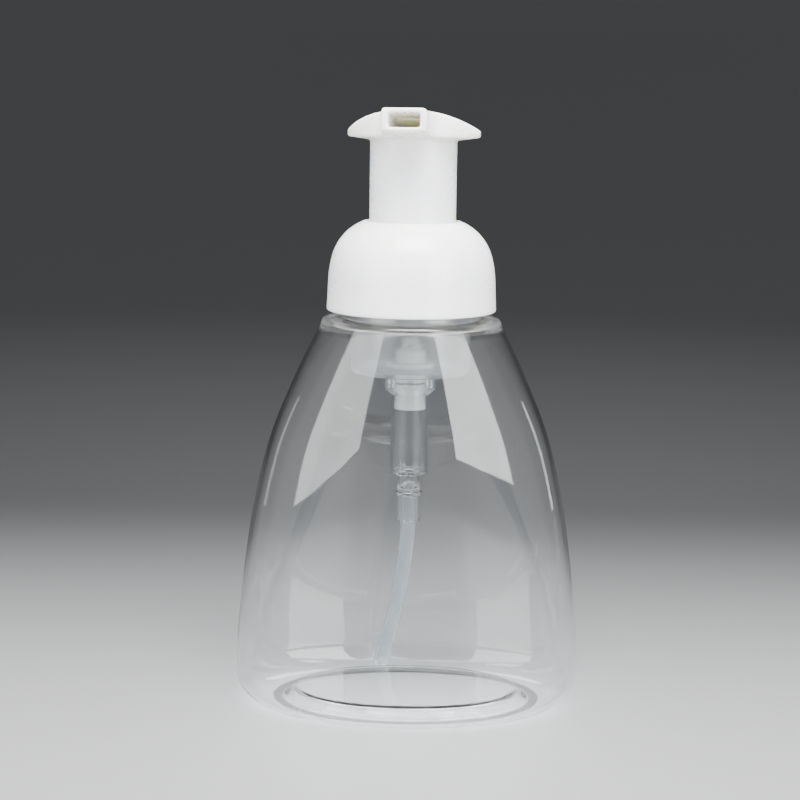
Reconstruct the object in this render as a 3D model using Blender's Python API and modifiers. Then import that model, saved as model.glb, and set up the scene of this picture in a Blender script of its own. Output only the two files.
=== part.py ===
"""Foaming soap dispenser: an oval clear bottle with a screw-on foam pump.

The origin is the middle of the bottle's foot, on the surface it stands on. +Z is up, X runs
across the bottle's width and -Y is its front. Named sizes are in millimetres, and each helper
turns them into metres. Heights are measured from the foot.
"""

import math

import bmesh
import bpy
from mathutils import Matrix

MM = 0.001
STEPS = 40
SMALL_STEPS = 24
CLEAR = 0.3

# Bottle: oval below, round at the neck.
BODY_HALF_WIDTH = 46.5
BODY_HALF_DEPTH = 29.2
SHOULDER_HALF_DEPTH = 23.0
FOOT_HALF_WIDTH = 36.5
FOOT_HALF_DEPTH = 23.5
PUSH_UP_HALF_WIDTH = 33.8
PUSH_UP_HALF_DEPTH = 21.0
PUSH_UP_HEIGHT = 3.6
HEEL_HEIGHT = 8.6
SHOULDER_Z = 104.3
SHOULDER_RADIUS = 24.0
SHOULDER_EDGE_RADIUS = 22.9
NECK_BASE_Z = 105.8
NECK_TOP_Z = 120.6
NECK_RADIUS = 18.7
NECK_BORE = 17.0
WALL = 1.0
OVAL_POWER = 2.15

# Screw thread between the bottle and the closure.
THREAD_PITCH = 4.23
THREAD_TURNS = 1.5
THREAD_Z = 111.6
THREAD_POINTS = 24

# Closure: a straight skirt under a domed shoulder with a small lip round the head's tube.
CLOSURE_RIM_Z = 107.9
CLOSURE_RIM_RADIUS = 22.5
CLOSURE_BORE = 20.5
DOME_Z = 118.57
DOME_CENTRE_RADIUS = 7.86
DOME_RADIUS = 13.81
SKIRT_RADIUS = 29.0
LIP_Z = 131.5
LIP_RADIUS = 12.7
GUIDE_BORE = 11.9
GUIDE_RADIUS = 13.2
GUIDE_FOOT_Z = 126.2
DOME_INSIDE_Z = 128.0
CLOSURE_THREAD_TOP_Z = 119.2
SHOULDER_STOP_Z = 123.9
SHOULDER_STOP_RADIUS = 18.0

# Pump housing: a wide air cylinder with the narrow liquid cylinder under it.
FLANGE_Z = 122.2
FLANGE_TOP_Z = 123.6
FLANGE_RADIUS = 19.0
AIR_RADIUS = 15.93
AIR_BORE = 14.98
AIR_FLOOR_Z = 91.3
AIR_FLOOR_THICK = 1.2
COLLAR_RADIUS = 6.78
COLLAR_Z = 86.6
WINDOW_COUNT = 6
WINDOW_SIZE = (4.2, 3.5, 2.9)
LIQUID_RADIUS = 5.02
LIQUID_BORE = 4.4
LIQUID_TOP_Z = 85.2
LIQUID_FLOOR_Z = 63.5
VALVE_NECK_RADIUS = 3.08
VALVE_NECK_Z = 58.6
SOCKET_RADIUS = 3.25
SOCKET_BORE = 2.35
SOCKET_Z = 50.7
INLET_BORE = 1.1
BALL_CHAMBER_RADIUS = 2.2
VENT_Z = 116.6
RING_RADIUS = 17.6
RING_FOOT_Z = 121.3

# Plunger: what the head pushes down, at the top of its stroke.
STEM_RADIUS = 2.6
STEM_BORE = 1.6
STEM_FOOT_Z = 84.5
STEM_FLANGE_Z = 124.9
MIXER_Z = 126.1
MIXER_TOP_Z = 130.4
MIXER_RADIUS = 5.0
MIXER_WAIST_RADIUS = 4.4
PISTON_FOOT_Z = 81.3
PISTON_TOP_Z = 88.2
PISTON_RADIUS = 4.25
PISTON_COLLAR_RADIUS = 3.9
PISTON_WAIST_RADIUS = 4.05
AIR_PISTON_RADIUS = 14.82
AIR_PISTON_Z = 113.0
AIR_PISTON_TOP_Z = 120.0
WEB_Z = 116.4
HUB_RADIUS = 5.85
HUB_BORE = 4.75
HUB_FOOT_Z = 111.6
HUB_TOP_Z = 124.2
FLAP_RADIUS = 12.6

# Spring, and the bush that it stands on.
SEAT_TOP_Z = 97.2
SEAT_RADIUS = 4.05
SEAT_BORE = 2.9
SEAT_FLANGE_RADIUS = 6.2
SPRING_RADIUS = 3.42
SPRING_WIRE = 0.38
SPRING_TURNS = 8
SPRING_POINTS = 12

# Valve balls.
INLET_BALL_RADIUS = 1.5
INLET_BALL_Z = 60.7
OUTLET_BALL_RADIUS = 1.9
OUTLET_BALL_Z = 127.6

# Foam screens and the sleeve that holds them.
SLEEVE_Z = 131.2
SLEEVE_TOP_Z = 143.2
SLEEVE_RADIUS = 4.95
SCREEN_THICK = 0.3

# Head: a tube under a crowned, winged thumb pad with a box-shaped nozzle.
HEAD_YAW = math.radians(-7.8)
HEAD_TUBE_RADIUS = 11.42
HEAD_TUBE_BORE = 10.2
HEAD_TUBE_Z = 121.5
HEAD_TUBE_TOP_Z = 157.0
HEAD_WELL_TOP_Z = 151.3
BOSS_RADIUS = 6.7
BOSS_BORE = 5.3
BOSS_Z = 125.6
PAD_BLOCK_HEIGHT = 20.0
WING_HALF_SPAN = 17.4
WING_TIP_FRONT = -1.0
WING_TIP_BACK = 2.5
PAD_HALF_DEPTH = 12.6
CROWN_Z = 159.75
CROWN_DROP = 4.55
CROWN_POWER = 2.5
CROWN_TILT = 0.06
UNDERSIDE_Z = 151.05
UNDERSIDE_SLOPE = 0.218
UNDERSIDE_STRETCH = 1.6
NOZZLE_HALF_WIDTH = 5.8
NOZZLE_TILT = 0.13
NOZZLE_TOP_Z = 161.1
NOZZLE_FRONT = -19.2
NOZZLE_BACK = 8.0
NOZZLE_CORNER = 1.0
WEB_RADIUS = 3.5
OUTLET_HALF_WIDTH = 4.1
OUTLET_LOW_Z = 156.2
OUTLET_TOP_Z = 160.0
CHANNEL_TILT = 0.1
HEAD_BORE_TOP_Z = 158.2

# Dip tube: straight in its socket, then bent to the back left of the foot.
TUBE_RADIUS = 2.1
TUBE_WALL = 0.5
TUBE_TOP_Z = 57.2
TUBE_END = (-7.2, 18.0, 5.4)
TUBE_POINTS = 14


def clear_scene():
    for obj in list(bpy.data.objects):
        bpy.data.objects.remove(obj, do_unlink=True)


def new_collection(name):
    collection = bpy.data.collections.new(name)
    bpy.context.scene.collection.children.link(collection)
    return collection


clear_scene()
PARTS = new_collection("foam_soap_dispenser")
CUTTERS = new_collection("cutters")


def material(name, colour, roughness, metallic=0.0, transmission=0.0):
    made = bpy.data.materials.new(name)
    made.use_nodes = True
    shader = made.node_tree.nodes["Principled BSDF"]
    shader.inputs["Base Color"].default_value = (*colour, 1.0)
    shader.inputs["Roughness"].default_value = roughness
    shader.inputs["Metallic"].default_value = metallic
    shader.inputs["Transmission Weight"].default_value = transmission
    made.diffuse_color = (*colour, 1.0 - 0.7 * transmission)
    return made


CLEAR_PET = ((0.93, 0.95, 0.96), 0.04, 0.0, 0.95)
WHITE_PP = ((0.90, 0.90, 0.88), 0.35, 0.0, 0.0)
NATURAL_PP = ((0.84, 0.87, 0.88), 0.35, 0.0, 0.55)
WHITE_PE = ((0.86, 0.87, 0.86), 0.45, 0.0, 0.0)
SILICONE = ((0.80, 0.81, 0.80), 0.6, 0.0, 0.1)
NYLON = ((0.92, 0.92, 0.90), 0.5, 0.0, 0.0)
GLASS = ((0.90, 0.94, 0.93), 0.02, 0.0, 0.9)
STEEL = ((0.70, 0.71, 0.72), 0.25, 1.0, 0.0)


def finish_mesh(mesh, weld=1e-6):
    """Weld loose seams, point every face outward and shade smooth except at real corners."""
    shape = bmesh.new()
    shape.from_mesh(mesh)
    bmesh.ops.remove_doubles(shape, verts=shape.verts, dist=weld)
    bmesh.ops.recalc_face_normals(shape, faces=shape.faces)
    shape.to_mesh(mesh)
    shape.free()
    mesh.shade_smooth()
    mesh.set_sharp_from_angle(angle=math.radians(35))


def as_mesh(source):
    """Replace a curve or a modified object by the mesh that it makes, in the same place."""
    bpy.context.view_layer.update()
    graph = bpy.context.evaluated_depsgraph_get()
    mesh = bpy.data.meshes.new_from_object(source.evaluated_get(graph))
    finish_mesh(mesh)
    name = source.name
    place = source.matrix_world.copy()
    bpy.data.objects.remove(source, do_unlink=True)
    made = bpy.data.objects.new(name, mesh)
    mesh.name = name
    made.matrix_world = place
    return made


def add_part(obj, finish, parent=None):
    PARTS.objects.link(obj)
    obj.data.materials.clear()
    obj.data.materials.append(material(obj.name, *finish))
    obj.parent = parent
    return obj


def add_cutter(obj, parent=None):
    CUTTERS.objects.link(obj)
    obj.hide_render = True
    obj.display_type = "WIRE"
    obj.parent = parent
    return obj


def boolean(obj, tool, operation):
    step = obj.modifiers.new(f"{operation.lower()} {tool.name}", "BOOLEAN")
    step.operation = operation
    step.solver = "EXACT"
    step.object = tool


def turned(name, profile, steps=STEPS):
    """Turn (radius, height) points about Z. A profile that starts off the axis is closed."""
    points = [(r * MM, 0.0, z * MM) for r, z in profile]
    edges = [(i, i + 1) for i in range(len(points) - 1)]
    if profile[0][0] > 0.0:
        edges.append((len(points) - 1, 0))
    mesh = bpy.data.meshes.new(name)
    mesh.from_pydata(points, edges, [])
    obj = bpy.data.objects.new(name, mesh)
    bpy.context.scene.collection.objects.link(obj)
    screw = obj.modifiers.new("turn", "SCREW")
    screw.axis = "Z"
    screw.angle = math.tau
    screw.steps = steps
    screw.render_steps = steps
    screw.use_merge_vertices = True
    screw.merge_threshold = 1e-6
    return as_mesh(obj)


def arc(centre_r, centre_z, radius, start, end, count):
    """Points from one angle to another, in degrees from the outward direction."""
    points = []
    for i in range(count + 1):
        angle = math.radians(start + (end - start) * i / count)
        points.append((centre_r + radius * math.cos(angle), centre_z + radius * math.sin(angle)))
    return points


def wire(name, path, radius, sides, radii=None, hollow=0.0):
    """A round wire or tube along (x, y, z) points, with flat ends."""
    curve = bpy.data.curves.new(name, "CURVE")
    curve.dimensions = "3D"
    curve.bevel_depth = radius * MM
    curve.bevel_resolution = sides
    curve.use_fill_caps = hollow == 0.0
    spline = curve.splines.new("POLY")
    spline.points.add(len(path) - 1)
    for index, (x, y, z) in enumerate(path):
        spline.points[index].co = (x * MM, y * MM, z * MM, 1.0)
        spline.points[index].radius = radii[index] if radii else 1.0
    obj = bpy.data.objects.new(name, curve)
    bpy.context.scene.collection.objects.link(obj)
    if hollow:
        skin = obj.modifiers.new("wall", "SOLIDIFY")
        skin.thickness = hollow * MM
        skin.offset = -1.0
        skin.use_even_offset = True
    return as_mesh(obj)


def slab(name, outline, thickness):
    """A flat outline in XY with straight sides, half its thickness to each side of Z = 0."""
    curve = bpy.data.curves.new(name, "CURVE")
    curve.dimensions = "2D"
    curve.fill_mode = "BOTH"
    curve.extrude = thickness * MM / 2
    spline = curve.splines.new("POLY")
    spline.points.add(len(outline) - 1)
    for index, (x, y) in enumerate(outline):
        spline.points[index].co = (x * MM, y * MM, 0.0, 1.0)
    spline.use_cyclic_u = True
    obj = bpy.data.objects.new(name, curve)
    bpy.context.scene.collection.objects.link(obj)
    return as_mesh(obj)


def stand_up(obj, centre_y):
    """Turn a slab drawn as (x, z) upright, so that its thickness runs along Y."""
    obj.data.transform(Matrix.Rotation(math.radians(90), 4, "X"))
    obj.data.transform(Matrix.Translation((0.0, centre_y * MM, 0.0)))


def boxes(name, centres, size):
    """One cutter made of equal boxes, each at (angle, radius, height) round the axis."""
    shape = bmesh.new()
    for angle, radius, height in centres:
        turn = Matrix.Rotation(angle, 4, "Z")
        move = Matrix.Translation((radius * MM, 0.0, height * MM))
        scale = Matrix.Diagonal((size[0] * MM, size[1] * MM, size[2] * MM, 1.0))
        bmesh.ops.create_cube(shape, size=1.0, matrix=turn @ move @ scale)
    mesh = bpy.data.meshes.new(name)
    shape.to_mesh(mesh)
    shape.free()
    return bpy.data.objects.new(name, mesh)


def ball(name, radius, height):
    shape = bmesh.new()
    bmesh.ops.create_uvsphere(shape, u_segments=16, v_segments=10, radius=radius * MM)
    mesh = bpy.data.meshes.new(name)
    shape.to_mesh(mesh)
    shape.free()
    mesh.shade_smooth()
    obj = bpy.data.objects.new(name, mesh)
    obj.location.z = height * MM
    return obj


def thread_ridge(name, radius, depth, low_z):
    """A round right-hand thread ridge that fades out at both ends."""
    last = round(THREAD_TURNS * THREAD_POINTS)
    fade = THREAD_POINTS // 4
    path = []
    for i in range(last + 1):
        turn = i / THREAD_POINTS
        angle = math.tau * turn
        path.append((radius * math.cos(angle), radius * math.sin(angle), low_z + THREAD_PITCH * turn))
    radii = [min(1.0, 0.3 + 0.7 * min(i, last - i) / fade) for i in range(len(path))]
    return wire(name, path, depth, 1, radii)


def smooth_through(stations, z):
    """Height-ordered (z, value) stations joined by a smooth curve."""
    for index in range(len(stations) - 2):
        if z <= stations[index + 1][0]:
            break
    else:
        index = len(stations) - 2
    before = stations[max(index - 1, 0)]
    low = stations[index]
    high = stations[index + 1]
    after = stations[min(index + 2, len(stations) - 1)]
    span = high[0] - low[0]
    t = (z - low[0]) / span
    slope_low = (high[1] - before[1]) / (high[0] - before[0]) * span
    slope_high = (after[1] - low[1]) / (after[0] - low[0]) * span
    return (
        low[1] * (2 * t**3 - 3 * t**2 + 1)
        + high[1] * (3 * t**2 - 2 * t**3)
        + slope_low * (t**3 - 2 * t**2 + t)
        + slope_high * (t**3 - t**2)
    )


BODY_WIDTHS = [
    (HEEL_HEIGHT, BODY_HALF_WIDTH),
    (20.6, 46.1),
    (38.7, 44.3),
    (56.5, 41.5),
    (74.2, 37.2),
    (91.6, 30.1),
    (SHOULDER_Z, SHOULDER_RADIUS),
]


def body_ring(z, inset):
    """Half width, half depth and height of the bottle's wall, in from its outside by inset."""
    share = (z - HEEL_HEIGHT) / (SHOULDER_Z - HEEL_HEIGHT)
    depth = BODY_HALF_DEPTH - (BODY_HALF_DEPTH - SHOULDER_HALF_DEPTH) * share**1.7
    return (smooth_through(BODY_WIDTHS, z) - inset, depth - inset, z, OVAL_POWER)


def oval(shape, half_x, half_y, z, power):
    ring = []
    for i in range(STEPS):
        angle = math.tau * i / STEPS
        c = math.cos(angle)
        s = math.sin(angle)
        reach = (abs(c) ** power + abs(s) ** power) ** (-1.0 / power)
        ring.append(shape.verts.new((half_x * reach * c * MM, half_y * reach * s * MM, z * MM)))
    return ring


def bottle_side(inset):
    """Rings from the neck's rim down the body and under the foot to near its middle."""
    neck = NECK_RADIUS if inset == 0.0 else NECK_BORE
    drop = 0.4 * inset
    rings = [(neck, neck, NECK_TOP_Z, 2.0), (neck, neck, NECK_BASE_Z + 0.5 - drop * 3, 2.0)]
    edge = SHOULDER_EDGE_RADIUS - inset
    rings.append((neck + 0.5, neck + 0.5, NECK_BASE_Z - drop * 3, 2.0))
    rings.append((edge, edge - 0.9, NECK_BASE_Z - 0.4 - drop * 2, 2.0))
    rings.extend(body_ring(z - drop, inset) for z in (SHOULDER_Z, 98.0))
    rings.extend(body_ring(z, inset) for z in (91.6, 83.0, 74.2, 62.0, 50.0, 38.7, 25.0, 14.0))
    for step in range(6):
        angle = math.radians(18 * step)
        lean = math.cos(angle) - 1.0
        half_x = BODY_HALF_WIDTH - inset + (BODY_HALF_WIDTH - FOOT_HALF_WIDTH - inset) * lean
        half_y = BODY_HALF_DEPTH - inset + (BODY_HALF_DEPTH - FOOT_HALF_DEPTH - inset) * lean
        z = HEEL_HEIGHT - (HEEL_HEIGHT - inset) * math.sin(angle)
        rings.append((half_x, half_y, z, OVAL_POWER))
    rings.append((PUSH_UP_HALF_WIDTH, PUSH_UP_HALF_DEPTH, inset, OVAL_POWER))
    for share, rise in ((0.955, 0.5), (0.88, 0.78), (0.6, 0.93), (0.25, 1.0)):
        width = PUSH_UP_HALF_WIDTH * share
        depth = PUSH_UP_HALF_DEPTH * share
        rings.append((width, depth, inset + PUSH_UP_HEIGHT * rise, OVAL_POWER))
    return rings


def bridge(shape, first, second):
    for i in range(STEPS):
        j = (i + 1) % STEPS
        shape.faces.new((first[i], first[j], second[j], second[i]))


def make_bottle():
    shape = bmesh.new()
    outside = [oval(shape, *ring) for ring in bottle_side(0.0)]
    inside = [oval(shape, *ring) for ring in bottle_side(WALL)]
    for side in (outside, inside):
        for above, below in zip(side, side[1:]):
            bridge(shape, above, below)
        shape.faces.new(side[-1])
    bridge(shape, outside[0], inside[0])
    mesh = bpy.data.meshes.new("bottle")
    shape.to_mesh(mesh)
    shape.free()
    finish_mesh(mesh)
    bottle = add_part(bpy.data.objects.new("bottle", mesh), CLEAR_PET)
    ridge = add_cutter(thread_ridge("neck_thread", NECK_RADIUS + 0.1, 0.9, THREAD_Z))
    boolean(bottle, ridge, "UNION")


def make_closure(pump):
    dome = arc(DOME_CENTRE_RADIUS, DOME_Z, DOME_RADIUS, 69.0, 15.0, 7)
    edge_r, edge_z = dome[-1]
    bend = math.radians(15.0)
    skirt_r = edge_r - SKIRT_RADIUS * math.cos(bend)
    skirt_z = edge_z - SKIRT_RADIUS * math.sin(bend)
    profile = [
        (GUIDE_BORE, LIP_Z - 0.2),
        (GUIDE_BORE + 0.2, LIP_Z),
        (LIP_RADIUS - 0.15, LIP_Z),
        *dome,
        *arc(skirt_r, skirt_z, SKIRT_RADIUS, 9.0, 3.0, 1),
        (CLOSURE_RIM_RADIUS, CLOSURE_RIM_Z),
        (CLOSURE_BORE, CLOSURE_RIM_Z),
        (CLOSURE_BORE, CLOSURE_THREAD_TOP_Z),
        (FLANGE_RADIUS + 0.4, CLOSURE_THREAD_TOP_Z + 2.0),
        (FLANGE_RADIUS + 0.4, SHOULDER_STOP_Z),
        (SHOULDER_STOP_RADIUS, SHOULDER_STOP_Z),
        (SHOULDER_STOP_RADIUS, SHOULDER_STOP_Z + 1.5),
        (SHOULDER_STOP_RADIUS - 2.4, DOME_INSIDE_Z - 0.4),
        (GUIDE_RADIUS, DOME_INSIDE_Z),
        (GUIDE_RADIUS, GUIDE_FOOT_Z),
        (GUIDE_BORE, GUIDE_FOOT_Z),
    ]
    closure = add_part(turned("closure", profile), WHITE_PP, pump)
    ridge = thread_ridge("closure_thread", CLOSURE_BORE - 0.4, 1.0, THREAD_Z - THREAD_PITCH / 2)
    boolean(closure, add_cutter(ridge, pump), "UNION")


def make_gasket(pump):
    low = NECK_TOP_Z + CLEAR
    high = FLANGE_Z - CLEAR
    profile = [(FLANGE_RADIUS, high), (FLANGE_RADIUS, low), (NECK_BORE, low), (NECK_BORE, high)]
    add_part(turned("gasket", profile), SILICONE, pump)


def make_housing(pump):
    floor = AIR_FLOOR_Z + AIR_FLOOR_THICK
    liquid_floor = LIQUID_FLOOR_Z + 1.0
    seat_z = VALVE_NECK_Z + 0.6
    profile = [
        (FLANGE_RADIUS, FLANGE_TOP_Z),
        (FLANGE_RADIUS, FLANGE_Z),
        (AIR_RADIUS, FLANGE_Z),
        *arc(AIR_RADIUS - 0.8, AIR_FLOOR_Z + 0.8, 0.8, 0.0, -90.0, 3),
        (COLLAR_RADIUS, AIR_FLOOR_Z),
        (COLLAR_RADIUS, COLLAR_Z),
        (LIQUID_RADIUS, LIQUID_TOP_Z),
        *arc(LIQUID_RADIUS - 0.6, LIQUID_FLOOR_Z + 0.6, 0.6, 0.0, -90.0, 3),
        (VALVE_NECK_RADIUS, LIQUID_FLOOR_Z),
        (VALVE_NECK_RADIUS, VALVE_NECK_Z + 0.3),
        (SOCKET_RADIUS + 0.3, VALVE_NECK_Z),
        (SOCKET_RADIUS + 0.3, VALVE_NECK_Z - 0.7),
        (SOCKET_RADIUS, VALVE_NECK_Z - 0.9),
        (SOCKET_RADIUS, SOCKET_Z),
        (SOCKET_BORE, SOCKET_Z),
        (SOCKET_BORE, TUBE_TOP_Z + 0.4),
        (INLET_BORE, TUBE_TOP_Z + 0.4),
        (INLET_BORE, seat_z),
        (BALL_CHAMBER_RADIUS, seat_z + 1.1),
        (BALL_CHAMBER_RADIUS, liquid_floor - 1.2),
        (INLET_BORE + 0.1, liquid_floor - 0.5),
        (INLET_BORE + 0.1, liquid_floor),
        (LIQUID_BORE, liquid_floor),
        (LIQUID_BORE, floor),
        (AIR_BORE, floor),
        (AIR_BORE, FLANGE_TOP_Z),
    ]
    housing = add_part(turned("pump_housing", profile), NATURAL_PP, pump)
    middle_z = (COLLAR_Z + AIR_FLOOR_Z) / 2
    spots = [(math.tau * (i + 0.5) / WINDOW_COUNT, 7.2, middle_z) for i in range(WINDOW_COUNT)]
    boolean(housing, add_cutter(boxes("collar_windows", spots, WINDOW_SIZE), pump), "DIFFERENCE")
    vent_spot = [(math.radians(90), (AIR_RADIUS + AIR_BORE) / 2, VENT_Z)]
    boolean(housing, add_cutter(boxes("vent_slot", vent_spot, (3.0, 1.2, 0.8)), pump), "DIFFERENCE")


def make_retaining_ring(pump):
    top = FLANGE_TOP_Z + 1.6
    under = FLANGE_TOP_Z + CLEAR
    skirt = AIR_BORE - 0.25
    profile = [
        (RING_RADIUS, top),
        (RING_RADIUS, under),
        (skirt, under),
        (skirt, RING_FOOT_Z),
        (skirt - 0.8, RING_FOOT_Z),
        (skirt - 0.8, under),
        (GUIDE_BORE + 0.1, under),
        (GUIDE_BORE + 0.1, top),
    ]
    add_part(turned("retaining_ring", profile), WHITE_PP, pump)


def make_spring_seat(pump):
    floor = AIR_FLOOR_Z + AIR_FLOOR_THICK
    profile = [
        (SEAT_RADIUS, SEAT_TOP_Z),
        (SEAT_RADIUS, floor + 1.3),
        (SEAT_FLANGE_RADIUS, floor + 1.3),
        (SEAT_FLANGE_RADIUS, floor + CLEAR),
        (LIQUID_BORE - 0.2, floor + CLEAR),
        (LIQUID_BORE - 0.2, PISTON_TOP_Z + 0.6),
        (SEAT_BORE, PISTON_TOP_Z + 0.6),
        (SEAT_BORE, SEAT_TOP_Z),
    ]
    add_part(turned("spring_seat", profile, SMALL_STEPS), WHITE_PE, pump)


def make_spring(pump):
    """Close-wound first and last turns, evenly spaced turns between them."""
    low = SEAT_TOP_Z + CLEAR + SPRING_WIRE
    high = STEM_FLANGE_Z - CLEAR - SPRING_WIRE
    closed = 2.3 * SPRING_WIRE
    pitch = (high - low - 2 * closed) / (SPRING_TURNS - 2)
    path = []
    for i in range(SPRING_TURNS * SPRING_POINTS + 1):
        turn = i / SPRING_POINTS
        middle = min(max(turn - 1.0, 0.0), SPRING_TURNS - 2.0)
        ends = min(turn, 1.0) + max(turn - SPRING_TURNS + 1.0, 0.0)
        angle = math.tau * turn
        x = SPRING_RADIUS * math.cos(angle)
        y = SPRING_RADIUS * math.sin(angle)
        path.append((x, y, low + closed * ends + pitch * middle))
    add_part(wire("return_spring", path, SPRING_WIRE, 1), STEEL, pump)


def make_dip_tube(pump):
    """Straight inside the socket, then drifting to the left and to the back."""
    x_end, y_end, z_end = TUBE_END
    path = [(0.0, 0.0, TUBE_TOP_Z)]
    for i in range(TUBE_POINTS):
        share = i / (TUBE_POINTS - 1)
        z = SOCKET_Z + (z_end - SOCKET_Z) * share
        path.append((x_end * share**1.5, y_end * share**1.9, z))
    tube = wire("dip_tube", path, TUBE_RADIUS, 3, hollow=TUBE_WALL)
    add_part(tube, NATURAL_PP, pump)


def make_valve_balls(pump, plunger):
    add_part(ball("inlet_ball", INLET_BALL_RADIUS, INLET_BALL_Z), GLASS, pump)
    add_part(ball("outlet_ball", OUTLET_BALL_RADIUS, OUTLET_BALL_Z), GLASS, plunger)


def make_stem(plunger):
    profile = [
        (MIXER_RADIUS, MIXER_TOP_Z),
        (MIXER_RADIUS, MIXER_Z),
        (MIXER_WAIST_RADIUS, MIXER_Z),
        (MIXER_WAIST_RADIUS, STEM_FLANGE_Z),
        (STEM_RADIUS, STEM_FLANGE_Z),
        (STEM_RADIUS, STEM_FOOT_Z),
        (STEM_BORE, STEM_FOOT_Z),
        (STEM_BORE, MIXER_Z),
        (STEM_RADIUS, MIXER_Z + 1.0),
        (STEM_RADIUS, MIXER_TOP_Z),
    ]
    add_part(turned("stem", profile, SMALL_STEPS), WHITE_PE, plunger)


def make_liquid_piston(plunger):
    bore = STEM_RADIUS + 0.25
    profile = [
        (PISTON_COLLAR_RADIUS, PISTON_TOP_Z),
        (PISTON_COLLAR_RADIUS, PISTON_TOP_Z - 1.8),
        (PISTON_WAIST_RADIUS, PISTON_TOP_Z - 2.3),
        (PISTON_WAIST_RADIUS, PISTON_FOOT_Z + 2.2),
        (PISTON_RADIUS, PISTON_FOOT_Z + 1.1),
        (PISTON_RADIUS, PISTON_FOOT_Z + 0.2),
        (PISTON_RADIUS - 0.2, PISTON_FOOT_Z),
        (PISTON_WAIST_RADIUS, PISTON_FOOT_Z),
        (bore, PISTON_FOOT_Z + 1.5),
        (bore, PISTON_TOP_Z),
    ]
    add_part(turned("liquid_piston", profile, SMALL_STEPS), WHITE_PE, plunger)


def make_air_piston(plunger):
    band = AIR_PISTON_RADIUS - 0.9
    waist = AIR_PISTON_RADIUS - 0.35
    profile = [
        (AIR_PISTON_RADIUS, AIR_PISTON_TOP_Z),
        (waist, AIR_PISTON_TOP_Z - 1.6),
        (waist, AIR_PISTON_Z + 1.6),
        (AIR_PISTON_RADIUS, AIR_PISTON_Z),
        (AIR_PISTON_RADIUS - 0.4, AIR_PISTON_Z),
        (band, AIR_PISTON_Z + 1.6),
        (band, WEB_Z),
        (HUB_RADIUS, WEB_Z),
        (HUB_RADIUS, HUB_FOOT_Z),
        (HUB_BORE, HUB_FOOT_Z),
        (HUB_BORE, HUB_TOP_Z),
        (HUB_RADIUS, HUB_TOP_Z),
        (HUB_RADIUS, WEB_Z + 1.0),
        (band, WEB_Z + 1.0),
        (band, AIR_PISTON_TOP_Z - 1.6),
        (AIR_PISTON_RADIUS - 0.4, AIR_PISTON_TOP_Z),
    ]
    piston = add_part(turned("air_piston", profile), WHITE_PE, plunger)
    spots = [(math.radians(45 + 90 * i), 9.0, WEB_Z + 0.5) for i in range(4)]
    boolean(piston, add_cutter(boxes("air_ports", spots, (2.0, 2.0, 3.0)), plunger), "DIFFERENCE")


def make_air_valve(plunger):
    low = WEB_Z + 1.0 + CLEAR
    bore = HUB_RADIUS + 0.35
    profile = [(FLAP_RADIUS, low + 0.5), (FLAP_RADIUS, low), (bore, low), (bore, low + 0.7)]
    add_part(turned("air_valve", profile), SILICONE, plunger)


def make_screens(head):
    profile = [
        (SLEEVE_RADIUS, SLEEVE_TOP_Z),
        (SLEEVE_RADIUS, SLEEVE_Z),
        (SLEEVE_RADIUS - 0.8, SLEEVE_Z),
        (SLEEVE_RADIUS - 0.8, SLEEVE_TOP_Z),
    ]
    add_part(turned("mesh_holder", profile, SMALL_STEPS), NYLON, head)
    for name, low in (
        ("lower_mesh", SLEEVE_Z - 0.2 - SCREEN_THICK),
        ("upper_mesh", SLEEVE_TOP_Z + 0.2),
    ):
        disc = [(0.0, low + SCREEN_THICK), (SLEEVE_RADIUS, low + SCREEN_THICK)]
        disc.extend([(SLEEVE_RADIUS, low), (0.0, low)])
        add_part(turned(name, disc, SMALL_STEPS), NYLON, head)


def edge_circle(side, tip_y):
    """Radius and centre of the arc from tip to tip along the pad's front (-1) or back (1) edge."""
    rise = PAD_HALF_DEPTH - side * tip_y
    radius = (WING_HALF_SPAN**2 + rise**2) / (2 * rise)
    return radius, side * (PAD_HALF_DEPTH - radius)


def pad_outline():
    """The pad from above: a lens with blunt wing tips."""
    outline = []
    for side, tip_y in ((-1.0, WING_TIP_FRONT), (1.0, WING_TIP_BACK)):
        radius, middle = edge_circle(side, tip_y)
        sweep = math.asin(WING_HALF_SPAN / radius)
        for i in range(13):
            angle = sweep * (i / 6.0 - 1.0)
            outline.append((side * radius * math.sin(angle), middle + side * radius * math.cos(angle)))
    return outline


def crown_section():
    """The pad from the front: a crowned top over a deep flat foot, which the underside cuts."""
    half = WING_HALF_SPAN + 1.0
    top = []
    for i in range(17):
        x = half * (i / 8.0 - 1.0)
        share = abs(x / WING_HALF_SPAN) ** CROWN_POWER
        top.append((x, CROWN_Z - CROWN_DROP * share))
    return [*top, (half, UNDERSIDE_Z - 2.0), (-half, UNDERSIDE_Z - 2.0)]


def nozzle_section(half_width, low, high, corner):
    """A box seen from the front, with rounded top corners."""
    right = arc(half_width - corner, high - corner, corner, 0.0, 90.0, 3)
    left = [(-x, z) for x, z in reversed(right)]
    return [(half_width, low), *right, *left, (-half_width, low)]


def web_outline(side):
    """The rounded inner corner between the nozzle's side and the pad's front edge, from above."""
    radius, middle = edge_circle(-1.0, WING_TIP_FRONT)
    centre_x = NOZZLE_HALF_WIDTH + WEB_RADIUS
    centre_y = middle - math.sqrt((radius + WEB_RADIUS) ** 2 - centre_x**2)
    turn = math.atan2(middle - centre_y, -centre_x) - math.pi
    outline = []
    for i in range(5):
        angle = math.pi + turn * i / 4
        x = centre_x + WEB_RADIUS * math.cos(angle)
        outline.append((side * x, centre_y + WEB_RADIUS * math.sin(angle)))
    inner_x = side * (NOZZLE_HALF_WIDTH - 0.5)
    back_y = outline[-1][1] + 1.0
    return [*outline, (outline[-1][0], back_y), (inner_x, back_y), (inner_x, centre_y)]


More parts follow.
